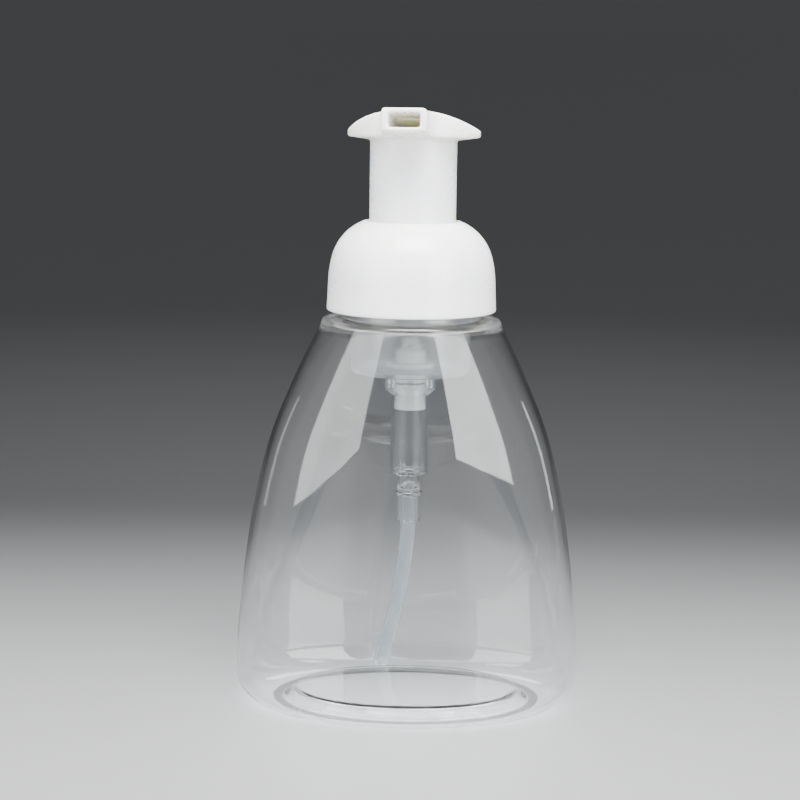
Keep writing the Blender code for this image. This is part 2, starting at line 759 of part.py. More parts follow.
def tilt(obj, rise, level_y):
    """Raise a piece's front by this much for each unit in front of level_y."""
    lean = Matrix.Identity(4)
    lean[2][1] = -rise
    lean[2][3] = rise * level_y * MM
    obj.data.transform(lean)


def make_pad(head):
    """The winged pad with its nozzle, hollowed below by a shallow oval cone."""
    lift = Matrix.Translation((0.0, 0.0, HEAD_TUBE_TOP_Z * MM))
    pad = slab("pad_plan", pad_outline(), PAD_BLOCK_HEIGHT)
    pad.data.transform(lift)
    for side in (-1.0, 1.0):
        web = slab("nozzle_web", web_outline(side), PAD_BLOCK_HEIGHT)
        web.data.transform(lift)
        boolean(pad, add_cutter(web, head), "UNION")
    crown = slab("pad_crown", crown_section(), 2.0 * PAD_BLOCK_HEIGHT)
    stand_up(crown, 0.0)
    tilt(crown, CROWN_TILT, 0.0)
    add_cutter(pad, head)
    boolean(pad, add_cutter(crown, head), "INTERSECT")

    section = nozzle_section(NOZZLE_HALF_WIDTH, UNDERSIDE_Z, NOZZLE_TOP_Z, NOZZLE_CORNER)
    nozzle = slab("nozzle_box", section, NOZZLE_BACK - NOZZLE_FRONT)
    stand_up(nozzle, (NOZZLE_BACK + NOZZLE_FRONT) / 2)
    tilt(nozzle, NOZZLE_TILT, NOZZLE_FRONT)
    boolean(pad, add_cutter(nozzle, head), "UNION")

    reach = 2.0 * PAD_HALF_DEPTH
    profile = [
        (0.0, UNDERSIDE_Z),
        (reach, UNDERSIDE_Z + UNDERSIDE_SLOPE * reach),
        (reach, UNDERSIDE_Z - PAD_BLOCK_HEIGHT),
        (0.0, UNDERSIDE_Z - PAD_BLOCK_HEIGHT),
    ]
    underside = turned("pad_underside", profile)
    stretch = Matrix.Diagonal((UNDERSIDE_STRETCH, 1.0, 1.0, 1.0))
    underside.data.transform(stretch)
    boolean(pad, add_cutter(underside, head), "DIFFERENCE")
    return pad


def make_head(head):
    body = [
        (0.0, HEAD_TUBE_TOP_Z),
        (HEAD_TUBE_RADIUS, HEAD_TUBE_TOP_Z),
        (HEAD_TUBE_RADIUS, HEAD_TUBE_Z),
        (0.0, HEAD_TUBE_Z),
    ]
    pump_head = add_part(turned("pump_head", body), WHITE_PP, head)
    boolean(pump_head, make_pad(head), "UNION")

    hollow = [
        (0.0, HEAD_BORE_TOP_Z),
        (BOSS_BORE, HEAD_BORE_TOP_Z),
        (BOSS_BORE, BOSS_Z),
        (BOSS_RADIUS, BOSS_Z),
        (BOSS_RADIUS, HEAD_WELL_TOP_Z),
        (HEAD_TUBE_BORE, HEAD_WELL_TOP_Z),
        (HEAD_TUBE_BORE, HEAD_TUBE_Z - 2.0),
        (0.0, HEAD_TUBE_Z - 2.0),
    ]
    boolean(pump_head, add_cutter(turned("head_hollow", hollow), head), "DIFFERENCE")
    outlet = nozzle_section(OUTLET_HALF_WIDTH, OUTLET_LOW_Z, OUTLET_TOP_Z, 0.3)
    channel = slab("foam_channel", outlet, 2.0 - NOZZLE_FRONT)
    stand_up(channel, (NOZZLE_FRONT - 2.0) / 2)
    tilt(channel, CHANNEL_TILT, NOZZLE_FRONT)
    boolean(pump_head, add_cutter(channel, head), "DIFFERENCE")


def empty(name, parent=None):
    made = bpy.data.objects.new(name, None)
    PARTS.objects.link(made)
    made.parent = parent
    return made


def main():
    pump = empty("pump_axis")
    plunger = empty("plunger_axis", pump)
    head = empty("head_axis", plunger)
    make_bottle()
    make_closure(pump)
    make_gasket(pump)
    make_housing(pump)
    make_retaining_ring(pump)
    make_spring_seat(pump)
    make_spring(pump)
    make_dip_tube(pump)
    make_valve_balls(pump, plunger)
    make_stem(plunger)
    make_liquid_piston(plunger)
    make_air_piston(plunger)
    make_air_valve(plunger)
    make_screens(head)
    make_head(head)
    head.rotation_euler.z = HEAD_YAW


main()
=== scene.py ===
"""Looks of the foaming soap dispenser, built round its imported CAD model.

Every piece is in metres in the CAD model's frame: the bottle's foot stands on Z = 0, +Z is up, X is
the bottle's width and -Y its front. Named sizes are in millimetres, and the helpers turn them into
metres.
"""

import math

import bmesh
import bpy
from mathutils import Matrix, Vector


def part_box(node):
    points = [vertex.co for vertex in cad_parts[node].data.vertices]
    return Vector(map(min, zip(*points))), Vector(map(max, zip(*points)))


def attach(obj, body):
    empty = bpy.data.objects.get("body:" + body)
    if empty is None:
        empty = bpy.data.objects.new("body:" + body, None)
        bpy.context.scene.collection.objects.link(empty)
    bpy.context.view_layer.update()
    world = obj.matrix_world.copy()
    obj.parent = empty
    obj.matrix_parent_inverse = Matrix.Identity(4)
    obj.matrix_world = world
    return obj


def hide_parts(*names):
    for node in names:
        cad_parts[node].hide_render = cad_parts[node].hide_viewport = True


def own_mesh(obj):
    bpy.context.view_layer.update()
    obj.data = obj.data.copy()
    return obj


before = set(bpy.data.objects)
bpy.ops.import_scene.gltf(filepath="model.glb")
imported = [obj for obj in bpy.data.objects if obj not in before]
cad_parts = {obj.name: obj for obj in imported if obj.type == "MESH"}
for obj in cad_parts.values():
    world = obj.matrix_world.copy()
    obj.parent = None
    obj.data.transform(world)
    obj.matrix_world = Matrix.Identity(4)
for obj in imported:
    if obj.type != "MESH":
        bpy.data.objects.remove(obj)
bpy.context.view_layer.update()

# A millimetre in metres, the sides of a turned piece, and how near points are welded, in metres
MM = 0.001
FINE = 144
WELD = 1e-6
WELD_FINE = 1e-7
SCENE = bpy.context.scene


# ---------------------------------------------------------------- sizes, in millimetres


def span(node):
    """A CAD node's lowest and highest corner, in millimetres."""
    low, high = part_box(node)
    return low / MM, high / MM


BOTTLE_HIGH = span("bottle")[1]
CLOSURE_LOW, CLOSURE_HIGH = span("closure")
HEAD_LOW, HEAD_HIGH = span("pump_head")

# Bottle
BODY_HALF_WIDTH = BOTTLE_HIGH.x
BODY_HALF_DEPTH = BOTTLE_HIGH.y
NECK_TOP_Z = BOTTLE_HIGH.z
SHOULDER_HALF_DEPTH = 23.0
FOOT_HALF_WIDTH = 36.5
FOOT_HALF_DEPTH = 23.5
PUSH_UP_HALF_WIDTH = 33.8
PUSH_UP_HALF_DEPTH = 21.0
PUSH_UP_HEIGHT = 3.6
HEEL_HEIGHT = 8.6
SHOULDER_Z = 104.3
SHOULDER_RADIUS = 24.0
NECK_BASE_Z = 105.8
NECK_RADIUS = 18.7
NECK_BORE = 17.0
WALL = 1.0
ROUND_POWER = 2.0
OVAL_POWER = 2.15
BOTTLE_SIDES = 192
NECK_RINGS_Z = (116.0, 111.0)
NECK_LIP = 0.25
NECK_FLARE = 0.7
WALL_DROP = 0.4
SHOULDER_BACK = 1.5
SHOULDER_BACK_DEPTH = 0.9
SHOULDER_STEPS = 7
SHOULDER_STEP_DEGREES = 11
DEPTH_POWER = 1.7
BODY_RING_GAP = 1.6
HEEL_STEPS = 24
RISER_STEPS = 16
RISER_WIDTH_LOSS = 0.16
RISER_DEPTH_LOSS = 0.20
RISER_SHARE = 0.8
RISER_HASTE = 1.15
CROWN_STEPS = 12
CROWN_SHARE = 0.2

# Thread between bottle and closure
THREAD_PITCH = 4.23
THREAD_TURNS = 1.5
THREAD_Z = 111.6
THREAD_STEPS = 72
THREAD_RUN_IN = 18
THREAD_END = 0.3
NECK_THREAD_RADIUS = 0.9
NECK_THREAD_OUT = 0.1
CLOSURE_THREAD_RADIUS = 1.0
CLOSURE_THREAD_IN = 0.4

# Closure
RIM_Z = CLOSURE_LOW.z
RIM_RADIUS = CLOSURE_HIGH.x
LIP_Z = CLOSURE_HIGH.z
CLOSURE_BORE = 20.5
DOME_Z = 118.57
DOME_CENTRE_RADIUS = 7.86
DOME_RADIUS = 13.81
DOME_START = 69.0
DOME_END = 15.0
SKIRT_RADIUS = 29.0
SKIRT_START = 13.5
SKIRT_END = 3.0
RIM_ROUND = 0.35
BORE_ROUND = 0.3
CLOSURE_SIDES = 192
LIP_RADIUS = 12.55
GUIDE_BORE = 11.9
GUIDE_RADIUS = 13.2
GUIDE_FOOT_Z = 126.2
DOME_INSIDE_Z = 128.0
CLOSURE_THREAD_TOP_Z = 119.2
FLANGE_POCKET = 19.4
SHOULDER_STOP_Z = 123.9
SHOULDER_STOP_RADIUS = 18.0

# Head
HEAD_YAW_DEGREES = -7.8
HEAD_YAW = math.radians(HEAD_YAW_DEGREES)
HEAD_TUBE_RADIUS = 11.42
HEAD_TUBE_BORE = 10.2
HEAD_TUBE_Z = HEAD_LOW.z
HEAD_TUBE_TOP_Z = 157.0
HEAD_WELL_TOP_Z = 151.3
HEAD_BORE_TOP_Z = 158.2
BOSS_RADIUS = 6.7
BOSS_BORE = 5.3
BOSS_Z = 125.6
PAD_BLOCK_HEIGHT = 20.0
WING_HALF_SPAN = 17.4
WING_TIP_FRONT = -1.0
WING_TIP_BACK = 2.5
PAD_HALF_DEPTH = 12.6
CROWN_Z = 159.75
CROWN_DROP = 4.55
CROWN_POWER = 2.5
CROWN_TILT = 0.06
UNDERSIDE_Z = 151.05
UNDERSIDE_SLOPE = 0.218
UNDERSIDE_STRETCH = 1.6
NOZZLE_HALF_WIDTH = 5.8
NOZZLE_TILT = 0.13
NOZZLE_TOP_Z = HEAD_HIGH.z
NOZZLE_FRONT = -19.2
NOZZLE_BACK = 8.0
NOZZLE_CORNER = 1.0
WEB_RADIUS = 3.5
CHANNEL_TILT = 0.1
OUTLET_HALF_WIDTH = 4.1
OUTLET_LOW_Z = 156.2
OUTLET_TOP_Z = 160.0
OUTLET_CORNER = 0.3
HEAD_TUBE_BEVEL = 0.4
OVERSHOOT = 2.0
SKIN_VOXEL = 0.34

# Pump housing: the foot of the collar between its two cylinders, the collar's windows, the air vent
COLLAR_LOW_Z = 86.6
WINDOW_COUNT = 6
WINDOW_SIZE = (4.2, 3.5, 2.9)
WINDOW_RADIUS = 7.2
WINDOW_Z = 88.95
VENT_SPOT = (90, 15.45, 116.6)
VENT_SIZE = (3.0, 1.2, 0.8)

# Air piston: the ports through its disc
PORT_COUNT = 4
PORT_RADIUS = 9.0
PORT_Z = 116.9
PORT_SIZE = (2.0, 2.0, 3.0)

# Foam screens
SCREEN_FIT = 0.985
SCREEN_RIM = 0.7
SCREEN_RIM_ROUND = 0.06
SCREEN_SIDES = 96
SCREEN_SPACING = 0.42
SCREEN_WIRE = 0.055
SCREEN_WAVE = 0.05
SCREEN_WELD_IN = 0.4
SCREEN_SHORTEST = 0.6

# Dip tube, in its socket and then bent to the back left of the foot
TUBE_RADIUS = 2.1
TUBE_WALL = 0.5
TUBE_TOP_Z = 57.2
SOCKET_Z = 50.7
TUBE_END = (-7.2, 18.0, 5.4)
TUBE_BEND_X = 1.5
TUBE_BEND_Y = 1.9

# Return spring
SPRING_LOW_Z = span("return_spring")[0].z
SPRING_HIGH_Z = span("return_spring")[1].z
SPRING_RADIUS = 3.42
SPRING_WIRE = 0.38
SPRING_TURNS = 8
SPRING_STEPS = 48
SPRING_CLOSED_PITCH = 2.3 * SPRING_WIRE

# Angles midway between two edges of the CAD's turned pieces, which have 40 or 24 facets
MID_FACET = 180.0 / 40
MID_SMALL_FACET = 180.0 / 24
MID_HEAD_FACET = MID_SMALL_FACET + HEAD_YAW_DEGREES

# Stage, in metres
FLOOR_RADIUS = 0.9
SWEEP_RADIUS = 0.6
SWEEP_STEPS = 24
WALL_HEIGHT = 2.6
PALE_UP_TO = -0.08
GREY_FROM = 0.25
PALE_PAPER = (0.25, 0.252, 0.256)
GREY_PAPER = (0.030, 0.031, 0.032)

# Upright lamps: name, near and far edge (x, y), low and high edge, slant in degrees, power in watts
SOFTBOXES = [
    ("key_left", (-0.36, -0.66), (-0.70, -0.23), 0.055, 1.05, 4.0, 10.5),
    ("key_right", (0.30, -0.69), (0.66, -0.33), 0.065, 1.05, 0.0, 15.5),
    ("rim_left", (-0.728, 0.333), (-0.710, 0.369), 0.01, 0.22, 0.0, 0.06),
    ("rim_right", (0.728, 0.333), (0.710, 0.369), 0.01, 0.22, 0.0, 0.14),
]

# Lamps overhead: name, place, two sides, power in watts
OVERHEADS = [
    ("top", (0.04, -0.38, 1.02), 0.7, 0.45, 46.0),
    ("back", (0.05, 0.75, 0.85), 0.7, 0.4, 6.5),
]
WORLD_COLOUR = (0.82, 0.82, 0.84)
WORLD_STRENGTH = 0.22

# Camera, fitted to the photo: metres, degrees, and a 36 mm wide film
EYE = (0.0, -0.4748, 0.1631)
LOOK_ASIDE = 0.323
LOOK_DOWN = 9.52
ROLL = 0.79
LENS = 80.7
FILM_WIDTH = 36.0
NEAREST = 0.01


# ---------------------------------------------------------------- mesh helpers


def smooth_mesh(mesh, sharp=40.0):
    """Weld, turn the faces outward, and shade smooth but for edges sharper than this angle."""
    shape = bmesh.new()
    shape.from_mesh(mesh)
    bmesh.ops.remove_doubles(shape, verts=shape.verts, dist=WELD)
    bmesh.ops.recalc_face_normals(shape, faces=shape.faces)
    shape.to_mesh(mesh)
    shape.free()
    mesh.shade_smooth()
    mesh.set_sharp_from_angle(angle=math.radians(sharp))


def link(obj):
    SCENE.collection.objects.link(obj)
    return obj


def applied(obj, sharp=40.0):
    """Turn a curve or a modified object into the plain mesh that it shows."""
    bpy.context.view_layer.update()
    graph = bpy.context.evaluated_depsgraph_get()
    mesh = bpy.data.meshes.new_from_object(obj.evaluated_get(graph))
    smooth_mesh(mesh, sharp=sharp)
    name = obj.name
    bpy.data.objects.remove(obj, do_unlink=True)
    mesh.name = name
    return link(bpy.data.objects.new(name, mesh))


def turned(name, profile, steps=FINE, weighted=True):
    """Turn (radius, height) points about Z. A profile that starts off the axis is closed.

    A piece that goes into a boolean is made unweighted, and can be weighted after it.
    """
    points = [(r * MM, 0.0, z * MM) for r, z in profile]
    edges = [(i, i + 1) for i in range(len(points) - 1)]
    if profile[0][0] > 0.0:
        edges.append((len(points) - 1, 0))
    mesh = bpy.data.meshes.new(name)
    mesh.from_pydata(points, edges, [])
    obj = link(bpy.data.objects.new(name, mesh))
    screw = obj.modifiers.new("turn", "SCREW")
    screw.axis = "Z"
    screw.angle = math.tau
    screw.steps = steps
    screw.render_steps = steps
    screw.use_merge_vertices = True
    screw.merge_threshold = WELD
    made = applied(obj, 50.0)
    if weighted:
        weight_normals(made)
    return made


def weight_normals(obj):
    """Keep flat stretches flat in the shading beside their rounded corners."""
    step = obj.modifiers.new("weighted normals", "WEIGHTED_NORMAL")
    step.weight = 90
    step.keep_sharp = True


def arc(centre_r, centre_z, radius, start, end, count):
    """Points on an arc from one angle to another, in degrees."""
    points = []
    for i in range(count + 1):
        angle = math.radians(start + (end - start) * i / count)
        points.append((centre_r + radius * math.cos(angle), centre_z + radius * math.sin(angle)))
    return points


def softened(profile, radius):
    """Round the corners of a profile, closed or from axis to axis."""
    count = 4
    nearly_straight = math.radians(155.0)
    most = 0.45
    closed = profile[0][0] > 1e-6
    rounded = []
    last = len(profile) - 1
    for i, here in enumerate(profile):
        if not closed and i in (0, last):
            rounded.append(here)
            continue
        before = Vector(profile[i - 1]) - Vector(here)
        after = Vector(profile[(i + 1) % len(profile)]) - Vector(here)
        turn = before.angle(after, math.pi)
        if turn > nearly_straight:
            rounded.append(here)
            continue
        reach = min(radius / math.tan(turn / 2), most * before.length, most * after.length)
        start = Vector(here) + before.normalized() * reach
        end = Vector(here) + after.normalized() * reach
        for step in range(count + 1):
            t = step / count
            point = start * (1 - t) ** 2 + Vector(here) * 2 * t * (1 - t) + end * t**2
            rounded.append((point.x, point.y))
    return rounded


def wire(name, path, radius, sides, radii=None, hollow=0.0):
    """A round wire or tube along (x, y, z) points, with flat ends."""
    curve = bpy.data.curves.new(name, "CURVE")
    curve.dimensions = "3D"
    curve.bevel_depth = radius * MM
    curve.bevel_resolution = sides
    curve.use_fill_caps = hollow == 0.0
    spline = curve.splines.new("POLY")
    spline.points.add(len(path) - 1)
    for index, (x, y, z) in enumerate(path):
        spline.points[index].co = (x * MM, y * MM, z * MM, 1.0)
        spline.points[index].radius = radii[index] if radii else 1.0
    obj = link(bpy.data.objects.new(name, curve))
    if hollow:
        skin = obj.modifiers.new("wall", "SOLIDIFY")
        skin.thickness = hollow * MM
        skin.offset = -1.0
        skin.use_even_offset = True
    return applied(obj)


def slab(name, outline, thickness):
    """A flat plate of an (x, y) outline, its middle on Z = 0."""
    curve = bpy.data.curves.new(name, "CURVE")
    curve.dimensions = "2D"
    curve.fill_mode = "BOTH"
    curve.extrude = thickness * MM / 2
    spline = curve.splines.new("POLY")
    spline.points.add(len(outline) - 1)
    for index, (x, y) in enumerate(outline):
        spline.points[index].co = (x * MM, y * MM, 0.0, 1.0)
    spline.use_cyclic_u = True
    return applied(link(bpy.data.objects.new(name, curve)))


def stand_up(obj, centre_y):
    """Turn a slab drawn as (x, z) upright, its middle at this Y."""
    obj.data.transform(Matrix.Rotation(math.radians(90), 4, "X"))
    obj.data.transform(Matrix.Translation((0.0, centre_y * MM, 0.0)))


def boolean(obj, tool, operation):
    """Cut or join, and remove the tool."""
    step = obj.modifiers.new(operation, "BOOLEAN")
    step.operation = operation
    step.solver = "EXACT"
    step.object = tool
    made = applied(obj)
    bpy.data.objects.remove(tool, do_unlink=True)
    return made


def section(node, turn_degrees):
    """The outline that a CAD node was turned from, cut midway between two of its facets' edges."""
    shape = bmesh.new()
    shape.from_mesh(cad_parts[node].data)
    bmesh.ops.remove_doubles(shape, verts=shape.verts, dist=WELD_FINE)
    bmesh.ops.rotate(
        shape,
        verts=shape.verts,
        cent=(0, 0, 0),
        matrix=Matrix.Rotation(math.radians(-turn_degrees), 3, "Z"),
    )
    cut = bmesh.ops.bisect_plane(
        shape,
        geom=[*shape.verts, *shape.edges, *shape.faces],
        dist=1e-9,
        plane_co=(0, 0, 0),
        plane_no=(0, 1, 0),
        clear_inner=True,
        clear_outer=True,
    )
    edges = [e for e in cut["geom_cut"] if isinstance(e, bmesh.types.BMEdge)]
    edges = [e for e in edges if max(v.co.x for v in e.verts) > WELD_FINE]
    outline = chain(edges)
    shape.free()
    return outline


def chain(edges):
    """Order loose edges into one outline of (radius, height), dropping points on straight runs."""
    joined = {}
    for edge in edges:
        ends = [(round(v.co.x / MM, 4), round(v.co.z / MM, 4)) for v in edge.verts]
        ends = [(max(r, 0.0), z) for r, z in ends]
        joined.setdefault(ends[0], []).append(ends[1])
        joined.setdefault(ends[1], []).append(ends[0])
    loose = [p for p in joined if len(joined[p]) == 1]
    start = max(loose or joined, key=lambda p: (p[1], p[0]))
    outline = [start]
    previous = None
    while True:
        here = outline[-1]
        onward = [p for p in joined[here] if p != previous and p != here]
        if not onward or onward[0] == start:
            break
        previous = here
        outline.append(onward[0])
    kept = []
    count = len(outline)
    for i, here in enumerate(outline):
        if loose and i in (0, count - 1):
            kept.append(here)
            continue
        before = Vector(here) - Vector(outline[i - 1])
        after = Vector(outline[(i + 1) % count]) - Vector(here)
        if before.length > 1e-4 and after.length > 1e-4 and before.angle(after) > math.radians(2):
            kept.append(here)
    return kept


# ---------------------------------------------------------------- materials

# Colours, refractive indices, and how much of the lamps' light each clear material lets through
PET_COLOUR = (0.985, 0.992, 0.995)
PET_SHADE = (0.93, 0.94, 0.945)
PET_IOR = 1.5
PET_HAZE = 0.22
PET_COVERED_HAZE = 0.2
POLYMER_IOR = 1.49
FROSTED_SHADE = (0.86, 0.88, 0.89)
GLASS_COLOUR = (0.93, 0.97, 0.96)
GLASS_SHADE = (0.9, 0.93, 0.92)
GLASS_IOR = 1.52
GLOW_REACH = (1.0, 0.93, 0.72)


def new_material(name):
    made = bpy.data.materials.new(name)
    made.use_nodes = True
    nodes = made.node_tree.nodes
    return made, nodes, made.node_tree.links, nodes["Principled BSDF"]


def noise(nodes, links, scale, detail=2.0):
    """3-D noise in object space; scale is features per metre."""
    place = nodes.new("ShaderNodeTexCoord")
    made = nodes.new("ShaderNodeTexNoise")
    made.inputs["Scale"].default_value = scale
    made.inputs["Detail"].default_value = detail
    links.new(place.outputs["Object"], made.inputs["Vector"])
    return made.outputs["Fac"]


def along(nodes, links, axis):
    """The place along one axis of the object, in metres."""
    place = nodes.new("ShaderNodeTexCoord")
    split = nodes.new("ShaderNodeSeparateXYZ")
    links.new(place.outputs["Object"], split.inputs["Vector"])
    return split.outputs[axis]


def mapped(nodes, links, source, start, end, low, high):
    """Map the range from start to end onto the range from low to high."""
    made = nodes.new("ShaderNodeMapRange")
    made.inputs["From Min"].default_value = start
    made.inputs["From Max"].default_value = end
    made.inputs["To Min"].default_value = low
    made.inputs["To Max"].default_value = high
    links.new(source, made.inputs["Value"])
    return made.outputs["Result"]


def spread(nodes, links, source, low, high):
    """Map noise, which mostly lies between 0.3 and 0.7, onto a range."""
    return mapped(nodes, links, source, 0.3, 0.7, low, high)


def two_tone(nodes, links, source, first, second):
    """Drift from one colour to another with the noise."""
    ramp = nodes.new("ShaderNodeValToRGB")
    ramp.color_ramp.elements[0].position = 0.35
    ramp.color_ramp.elements[0].color = (*first, 1.0)
    ramp.color_ramp.elements[1].position = 0.65
    ramp.color_ramp.elements[1].color = (*second, 1.0)
    links.new(source, ramp.inputs["Fac"])
    return ramp.outputs["Color"]


def bump(nodes, links, shader, height, distance):
    """Raise the surface by up to this many millimetres."""
    made = nodes.new("ShaderNodeBump")
    made.inputs["Distance"].default_value = distance * MM
    made.inputs["Strength"].default_value = 1.0
    links.new(height, made.inputs["Height"])
    links.new(made.outputs["Normal"], shader.inputs["Normal"])


def let_lamps_through(made, tint):
    """Lamps shine through the clear plastic, with its tint, so that what is behind it is lit."""
    nodes = made.node_tree.nodes
    links = made.node_tree.links
    output = nodes["Material Output"]
    shader = nodes["Principled BSDF"]
    path = nodes.new("ShaderNodeLightPath")
    clear = nodes.new("ShaderNodeBsdfTransparent")
    clear.inputs["Color"].default_value = (*tint, 1.0)
    mix = nodes.new("ShaderNodeMixShader")
    links.new(path.outputs["Is Shadow Ray"], mix.inputs["Fac"])
    links.new(shader.outputs["BSDF"], mix.inputs[1])
    links.new(clear.outputs["BSDF"], mix.inputs[2])
    links.new(mix.outputs["Shader"], output.inputs["Surface"])


def clear_pet():
    """Blown clear bottle: glossy, slightly wavy, and hazy from its unstretched shoulder up."""
    made, nodes, links, shader = new_material("clear_pet")
    shader.inputs["Base Color"].default_value = (*PET_COLOUR, 1.0)
    shader.inputs["Transmission Weight"].default_value = 1.0
    shader.inputs["IOR"].default_value = PET_IOR
    waves = noise(nodes, links, 60.0)
    height = along(nodes, links, "Z")
    thick_from, thick_to = (SHOULDER_Z - 1.2) * MM, (SHOULDER_Z + 0.6) * MM
    thick = mapped(nodes, links, height, thick_from, thick_to, 0.0, PET_HAZE)
    covered_from, covered_to = (RIM_Z + 0.5) * MM, (RIM_Z + 2.5) * MM
    uncovered = mapped(nodes, links, height, covered_from, covered_to, 1.0, PET_COVERED_HAZE)
    haze = nodes.new("ShaderNodeMath")
    haze.operation = "MULTIPLY_ADD"
    links.new(thick, haze.inputs[0])
    links.new(uncovered, haze.inputs[1])
    links.new(spread(nodes, links, waves, 0.0, 0.035), haze.inputs[2])
    links.new(haze.outputs["Value"], shader.inputs["Roughness"])
    bump(nodes, links, shader, noise(nodes, links, 45.0, 1.0), 0.12)
    let_lamps_through(made, PET_SHADE)
    return made


def moulded(name, first, second, roughness, grain, subsurface, reach):
    """Moulded plastic with a faint colour drift and a fine grain, which light enters a little."""
    made, nodes, links, shader = new_material(name)
    drift = noise(nodes, links, 90.0)
    links.new(two_tone(nodes, links, drift, first, second), shader.inputs["Base Color"])
    fine = noise(nodes, links, 900.0, 3.0)
    worn = spread(nodes, links, fine, roughness - 0.04, roughness + 0.05)
    links.new(worn, shader.inputs["Roughness"])
    shader.inputs["Subsurface Weight"].default_value = subsurface
    shader.inputs["Subsurface Radius"].default_value = GLOW_REACH
    shader.inputs["Subsurface Scale"].default_value = reach * MM
    shader.inputs["IOR"].default_value = POLYMER_IOR
    bump(nodes, links, shader, fine, grain)
    return made


def frosted(name, colour, clear_share, roughness, haze_from=None):
    """Uncoloured milky plastic that light passes through, matt and hazier above haze_from."""
    made, nodes, links, shader = new_material(name)
    drift = noise(nodes, links, 110.0, 1.0)
    deeper = tuple(0.95 * c for c in colour)
    links.new(two_tone(nodes, links, drift, deeper, colour), shader.inputs["Base Color"])
    shader.inputs["Transmission Weight"].default_value = clear_share
    shader.inputs["IOR"].default_value = POLYMER_IOR
    if haze_from is None:
        worn = spread(nodes, links, drift, roughness, roughness + 0.05)
        links.new(worn, shader.inputs["Roughness"])
    else:
        height = along(nodes, links, "Z")
        start, end = (haze_from - 0.6) * MM, (haze_from + 0.6) * MM
        for socket, below, above in (
            ("Roughness", roughness, 0.2),
            ("Transmission Weight", clear_share, clear_share - 0.015),
        ):
            rise = mapped(nodes, links, height, start, end, below, above)
            links.new(rise, shader.inputs[socket])
    let_lamps_through(made, FROSTED_SHADE)
    return made


def drawn_steel():
    made, nodes, links, shader = new_material("spring_steel")
    streaks = noise(nodes, links, 1500.0)
    links.new(
        two_tone(nodes, links, streaks, (0.60, 0.61, 0.63), (0.74, 0.75, 0.76)),
        shader.inputs["Base Color"],
    )
    shader.inputs["Metallic"].default_value = 1.0
    links.new(spread(nodes, links, streaks, 0.16, 0.3), shader.inputs["Roughness"])
    return made


def ball_glass():
    made, nodes, links, shader = new_material("ball_glass")
    shader.inputs["Base Color"].default_value = (*GLASS_COLOUR, 1.0)
    shader.inputs["Transmission Weight"].default_value = 1.0
    shader.inputs["IOR"].default_value = GLASS_IOR
    worn = spread(nodes, links, noise(nodes, links, 800.0), 0.0, 0.04)
    links.new(worn, shader.inputs["Roughness"])
    let_lamps_through(made, GLASS_SHADE)
    return made


PET = clear_pet()
# name, two colours, roughness, grain in mm, weight of the glow, how far it reaches in mm
WHITE_PP = moulded("white_pp", (0.915, 0.907, 0.872), (0.945, 0.937, 0.907), 0.27, 0.006, 1.0, 2.4)
WHITE_PE = moulded("white_pe", (0.39, 0.39, 0.372), (0.45, 0.45, 0.432), 0.42, 0.01, 0.6, 1.5)
SILICONE = moulded("silicone", (0.70, 0.71, 0.70), (0.76, 0.77, 0.76), 0.55, 0.015, 0.4, 1.0)
NYLON = moulded("nylon", (0.80, 0.80, 0.77), (0.86, 0.86, 0.83), 0.5, 0.02, 0.3, 0.6)
NATURAL_PP = frosted("natural_pp", (0.84, 0.86, 0.88), 1.0, 0.05, COLLAR_LOW_Z - 1.0)
NATURAL_PE = frosted("natural_pe", (0.75, 0.80, 0.84), 0.975, 0.13)
STEEL = drawn_steel()
GLASS = ball_glass()


def finish_piece(obj, material, body, slot, *nodes):
    """Give a piece its material, hang it from the empty of the body it rides, and hide the CAD
    nodes it stands for.
    """
    obj.data.materials.clear()
    obj.data.materials.append(material)
    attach(obj, body)
    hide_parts(*nodes)


# ---------------------------------------------------------------- bottle

BODY_WIDTHS = [
    (HEEL_HEIGHT, BODY_HALF_WIDTH),
    (20.6, 46.1),
    (38.7, 44.3),
    (56.5, 41.5),
    (74.2, 37.2),
    (91.6, 30.1),
    (SHOULDER_Z, SHOULDER_RADIUS),
]


def smooth_through(stations, z):
    """Height-ordered (z, value) stations joined by a smooth curve."""
    for index in range(len(stations) - 2):
        if z <= stations[index + 1][0]:
            break
    else:
        index = len(stations) - 2
    before = stations[max(index - 1, 0)]
    low = stations[index]
    high = stations[index + 1]
    after = stations[min(index + 2, len(stations) - 1)]
    gap = high[0] - low[0]
    t = (z - low[0]) / gap
    slope_low = (high[1] - before[1]) / (high[0] - before[0]) * gap
    slope_high = (after[1] - low[1]) / (after[0] - low[0]) * gap
    return (
        low[1] * (2 * t**3 - 3 * t**2 + 1)
        + high[1] * (3 * t**2 - 2 * t**3)
        + slope_low * (t**3 - 2 * t**2 + t)
        + slope_high * (t**3 - t**2)
    )


def body_ring(z, inset):
    """One ring of the body: half width, half depth, height and how square its oval is."""
    share = (z - HEEL_HEIGHT) / (SHOULDER_Z - HEEL_HEIGHT)
    depth = BODY_HALF_DEPTH - (BODY_HALF_DEPTH - SHOULDER_HALF_DEPTH) * share**DEPTH_POWER
    return (smooth_through(BODY_WIDTHS, z) - inset, depth - inset, z, OVAL_POWER)


def oval(shape, half_x, half_y, z, power):
    """A ring of points on an ellipse (power 2) or a squarer oval."""
    ring = []
    for i in range(BOTTLE_SIDES):
        angle = math.tau * i / BOTTLE_SIDES
        c = math.cos(angle)
        s = math.sin(angle)
        reach = (abs(c) ** power + abs(s) ** power) ** (-1.0 / power)
        ring.append(shape.verts.new((half_x * reach * c * MM, half_y * reach * s * MM, z * MM)))
    return ring


